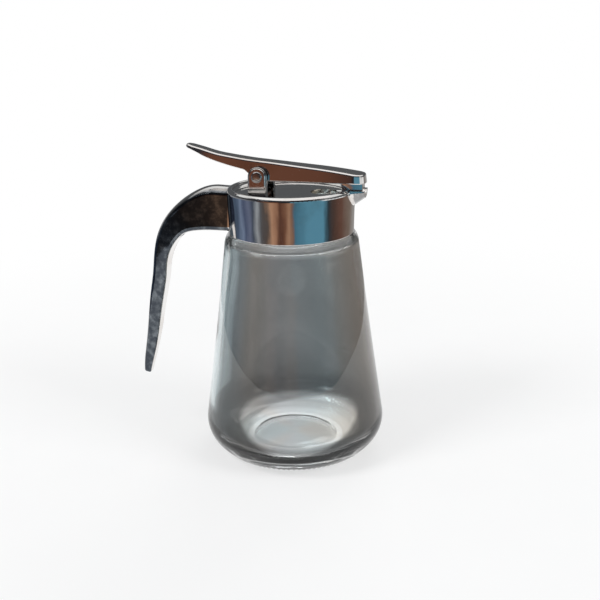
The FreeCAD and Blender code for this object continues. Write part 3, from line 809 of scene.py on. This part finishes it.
# the shoulder's ring, just under the collar, lets more light straight through
height = tree.node("ShaderNodeSeparateXYZ", None, {0: where}, out=2)
in_ring = tree.smooth(height, 0.1005, 0.1035) * (1 - tree.smooth(height, 0.1062, 0.1075))
thin = 1 - 0.6 * in_ring
ripple = tree.noise(tree.stretched(where, (1.0, 1.0, 0.35)), 60.0, 2.0)
relief = tree.node("ShaderNodeBump", None, {"Strength": 0.06, "Distance": 0.002, "Height": ripple})
finish_with(tree, Base_Color=tint, Roughness=tree.noise(where, 80.0) * 0.03, Normal=relief,
            Alpha=thin, IOR=1.5, Transmission_Weight=1.0, Specular_IOR_Level=0.5)
jar.data.materials.append(glass)


# %% [markdown]
# ## Plated metal
#
# Chrome over a polished casting is a mirror with a faint warm cast: its colour is nearly
# white, and what one sees is the room.  A real plated casting is still a little uneven,
# so a slow bump bends the reflections and a fine noise dulls them here and there.  The
# sides of the horn and the casting under the lip are given a darker, mottled colour: a
# painted dark reflection and painted shade, with lighter patches as painted reflections.

# %% Chrome
def plated(name, colour, worn, dull, unevenness, with_painted_shade=False):
    """A mirror finish: nearly white, patchily worn, slightly wavy, and if asked with a painted dark
    reflection on the horn's sides and painted shade under the lip.
    """
    material, tree = new_material(name)
    where = tree.place()
    patches = tree.smooth(tree.noise(where, 55.0, 4.0, 0.6), 0.45, 0.7)
    body_colour = tree.mix(patches, colour, worn)
    if with_painted_shade:
        # painted dark reflection and shade, with lighter mottled patches as painted reflections
        reflection_mottle = tree.smooth(tree.noise(where, 260.0, 4.0, 0.65), 0.40, 0.78)
        horn = tree.mix(reflection_mottle, rgb(72, 77, 84), rgb(132, 138, 143))
        casting_shade_there = tree.node("ShaderNodeAttribute", {"attribute_name": "flank"}, out="Fac")
        body_colour = tree.mix(tree.smooth(casting_shade_there, 0.35, 0.8), body_colour, horn)
    fine = tree.noise(where, 900.0, 2.0)
    rough = dull + patches * 0.05 + fine * 0.02
    wave = tree.noise(where, 120.0, 2.0)
    relief = tree.node("ShaderNodeBump", None,
                       {"Strength": unevenness, "Distance": 0.001, "Height": wave})
    finish_with(tree, Base_Color=body_colour, Metallic=1.0, Roughness=rough, Normal=relief)
    return material


store(casting, "flank", flank)
finishes = (
    ([casting], plated("casting_chrome", rgb(240, 238, 236), rgb(226, 220, 216), 0.04, 0.03, with_painted_shade=True)),
    ([lever, plug], plated("lever_chrome", rgb(240, 236, 233), rgb(226, 218, 212), 0.05, 0.03)),
    (metal_pads, plated("ear_chrome", rgb(238, 230, 224), rgb(214, 202, 194), 0.08, 0.04)),
    # the ear plates get a darker chrome than the pads beside them: painted shade
    (metal_ears, plated("ear_plate_painted_shade_chrome", rgb(186, 184, 182), rgb(160, 156, 152), 0.10, 0.04)),
    ([pin], plated("pin_steel", rgb(190, 186, 184), rgb(120, 114, 110), 0.18, 0.2)),
)
for pieces, finish in finishes:
    for piece in pieces:
        piece.data.materials.append(finish)


# %% [markdown]
# ## Stage, lamps and what the metal sees
#
# Metal and glass are lit by what they reflect.  The object stands on a plain pale floor
# under large soft lamps.  Round it stands a paper screen that only reflections see:
# brown and copper in front, blue towards the lip's side, dark beside the handle.
# That is how a studio shapes a mirror finish without colouring the light.

# %% Floor and world
def shader_mix(tree, amount, first, second):
    """A shader that goes from first to second as amount goes from 0 to 1."""
    return tree.node("ShaderNodeMixShader", None, {0: amount, 1: first, 2: second})


def glow(tree, colour, strength=1.0):
    """A surface that shows one colour, whatever the light."""
    return tree.node("ShaderNodeEmission", None, {"Color": colour, "Strength": strength})


def stage_piece(name, points, faces, material):
    """A mesh that belongs to the studio and not to the object."""
    mesh = bpy.data.meshes.new(name)
    mesh.from_pydata(np.asarray(points).tolist(), [], faces)
    mesh.update()
    piece = bpy.data.objects.new(name, mesh)
    bpy.context.scene.collection.objects.link(piece)
    mesh.materials.append(material)
    return piece


def seen_directly(tree):
    """1 for rays from the camera, in mirrors and through glass, and 0 for light on things."""
    paths = tree.nodes.new("ShaderNodeLightPath")
    names = ("Is Camera Ray", "Is Glossy Ray", "Is Transmission Ray")
    eye, mirror, through_glass = [Knob(tree, paths.outputs[name]) for name in names]
    return tree.node("ShaderNodeMath", {"operation": "ADD", "use_clamp": True},
                     {0: eye + mirror, 1: through_glass})


floor_paint, tree = new_material("pale_floor")
spot = tree.place()
speck = tree.noise(spot, 40.0, 2.0)
paper = tree.node("ShaderNodeBsdfDiffuse", None,
                  {"Color": tree.mix(speck, rgb(238, 238, 238), rgb(242, 242, 241)), "Roughness": 0.5})
away = tree.node("ShaderNodeVectorMath", {"operation": "LENGTH"}, {0: spot}, out="Value")
lit = 0.62 + tree.smooth(away, 0.12, 0.45) * 0.38
cover = shader_mix(tree, seen_directly(tree) * lit, paper, glow(tree, WHITE))
tree.node("ShaderNodeOutputMaterial", None, {"Surface": cover})
FLOOR_HALF = 1.6
around_floor = ((-1, -1, 0), (1, -1, 0), (1, 1, 0), (-1, 1, 0))
stage_piece("floor", FLOOR_HALF * np.array(around_floor), [(0, 1, 2, 3)], floor_paint)

world = bpy.data.worlds.new("studio")
bpy.context.scene.world = world
tree = Tree(world)
shown = seen_directly(tree)
white = tree.node("ShaderNodeBackground", None, {"Color": WHITE, "Strength": 1.0})
room = tree.node("ShaderNodeBackground", None, {"Color": (0.62, 0.64, 0.66, 1.0), "Strength": 0.6})
tree.node("ShaderNodeOutputWorld", None, {"Surface": shader_mix(tree, shown, room, white)})

# %% [markdown]
# ## The paper screen
#
# The screen is a strip bent into a full circle about the bottle.  Its colour is a function
# of two things, the direction it stands in and the height, so it is painted with two
# colour ramps over the angle, one for its lower part and one for its upper part, and the
# border between them wavers a little, as cloth and skin would.  Above both it is dark in
# front and grey behind, and the top of the part behind is white.

# %% Screen
SCREEN_R, SCREEN_H, SCREEN_STEPS = 0.30, 0.50, 96


def ring_strip(radius, height, steps):
    """A strip on a circle: angle and height are the two parameters."""
    angle = np.linspace(0, 2 * np.pi, steps, endpoint=False)
    low = np.stack([radius * np.cos(angle), radius * np.sin(angle), 0 * angle], axis=1)
    i = np.arange(steps)
    j = (i + 1) % steps
    quads = np.stack([i, j, j + steps, i + steps], axis=1)
    return np.concatenate([low, low + (0, 0, height)]), quads.tolist()


def round_ramp(tree, turn, stops):
    """A colour for each direction.  Stops are (degrees from the front towards the lip, colour)."""
    places = [((degrees + 180.0) / 360.0, rgb(*colour)[:3]) for degrees, colour in stops]
    return tree.node("ShaderNodeValToRGB", {"stops": places}, {"Fac": turn})


screen_paint, tree = new_material("paper_screen")
where = tree.place()
parts = [tree.node("ShaderNodeSeparateXYZ", None, {0: where}, out=k) for k in range(3)]
wobble = (tree.noise(tree.stretched(where, (1.0, 1.0, 3.0)), 14.0, 3.0) - 0.5) * 0.050
minus_y = 0 - parts[1]
turn = tree.node("ShaderNodeMath", {"operation": "ARCTAN2"}, {0: parts[0], 1: minus_y}) / (2 * math.pi) + 0.5
low = round_ramp(tree, turn + wobble, [
    (-180, (150, 152, 155)), (-128, (73, 83, 90)), (-97, (70, 84, 104)), (-84, (112, 126, 150)),
    (-76, (74, 84, 108)), (-66, (98, 106, 128)), (-56, (66, 74, 88)), (-47, (150, 155, 160)),
    (-40, (86, 88, 92)), (-31, (80, 72, 68)), (-22, (172, 134, 108)), (-13, (150, 112, 90)),
    (-6, (84, 56, 46)), (0, (110, 76, 60)), (8, (160, 124, 100)), (15, (120, 92, 78)),
    (19, (66, 106, 126)), (40, (86, 136, 158)), (70, (86, 136, 158)), (78, (46, 56, 62)),
    (92, (74, 58, 52)), (108, (98, 71, 61)), (135, (118, 105, 96)), (160, (150, 148, 146))])
high = round_ramp(tree, turn, [
    (-180, (200, 202, 204)), (-120, (150, 152, 156)), (-60, (96, 100, 108)), (-46, (60, 62, 66)),
    (-36, (78, 50, 40)), (-30, (106, 70, 54)), (-12, (98, 64, 50)), (-6, (60, 46, 42)), (-2, (38, 36, 38)),
    (9, (50, 54, 60)), (13, (90, 140, 162)), (64, (92, 140, 160)), (70, (225, 230, 232)),
    (112, (236, 238, 238)), (122, (108, 104, 102)), (150, (150, 148, 146)), (176, (200, 202, 204))])
z = parts[2]
rise = tree.smooth(z + wobble * 0.15, 0.070, 0.080)
front = tree.smooth(minus_y, -0.05, 0.12)
dark_above = tree.smooth(z, 0.165, 0.180)
behind_low = tree.smooth(z + wobble * 0.4, 0.125, 0.145)
behind_high = tree.smooth(z + wobble * 0.4, 0.285, 0.315)
banded = tree.mix(rise, low, high)
front_part = tree.mix(dark_above, banded, rgb(46, 46, 50))
back_part = tree.mix(behind_high, tree.mix(behind_low, banded, rgb(84, 86, 88)), rgb(226, 228, 228))
colour = tree.mix(front, back_part, front_part)


def soft_range(tree, value, low, high, edge):
    """1 from low to high and 0 outside them, with soft edges."""
    return tree.smooth(value, low - edge, low) * (1 - tree.smooth(value, high, high + edge))


# a narrow bright slot, as from a window, that glass and plating catch as a glint
slot_turn = soft_range(tree, turn, 0.5 - 47 / 360, 0.5 - 44 / 360, 2 / 360)
slot_high = soft_range(tree, z, 0.090, 0.112, 0.006)
surface = glow(tree, colour, 1 + 14 * (slot_turn * slot_high))
tree.node("ShaderNodeOutputMaterial", None, {"Surface": surface})
screen = stage_piece("paper_screen", *ring_strip(SCREEN_R, SCREEN_H, SCREEN_STEPS), screen_paint)
screen.visible_camera = False
screen.visible_diffuse = False
screen.visible_transmission = False
screen.visible_shadow = False


# %% Lamps
def soft_lamp(name, place, aim, width, height, power):
    """A rectangular area lamp at place that looks at aim."""
    light = bpy.data.lights.new(name, "AREA")
    light.shape, light.size, light.size_y, light.energy = "RECTANGLE", width, height, power
    lamp = bpy.data.objects.new(name, light)
    lamp.location = place
    direction = np.array(aim) - np.array(place)
    flat = math.hypot(direction[0], direction[1])
    tilt, swing = math.atan2(flat, -direction[2]), -math.atan2(direction[0], direction[1])
    lamp.rotation_euler = (tilt, 0.0, swing)
    bpy.context.scene.collection.objects.link(lamp)
    return lamp


MIDDLE = (0, 0, 0.07)
soft_lamp("key", (-0.55, -0.5, 0.75), MIDDLE, 0.35, 0.35, 4.5)
soft_lamp("fill", (0.75, -0.25, 0.55), MIDDLE, 0.4, 0.4, 3.0)
soft_lamp("back", (0.1, 0.8, 0.7), MIDDLE, 0.6, 0.3, 4.0)

bpy.context.scene.view_settings.view_transform = "Standard"
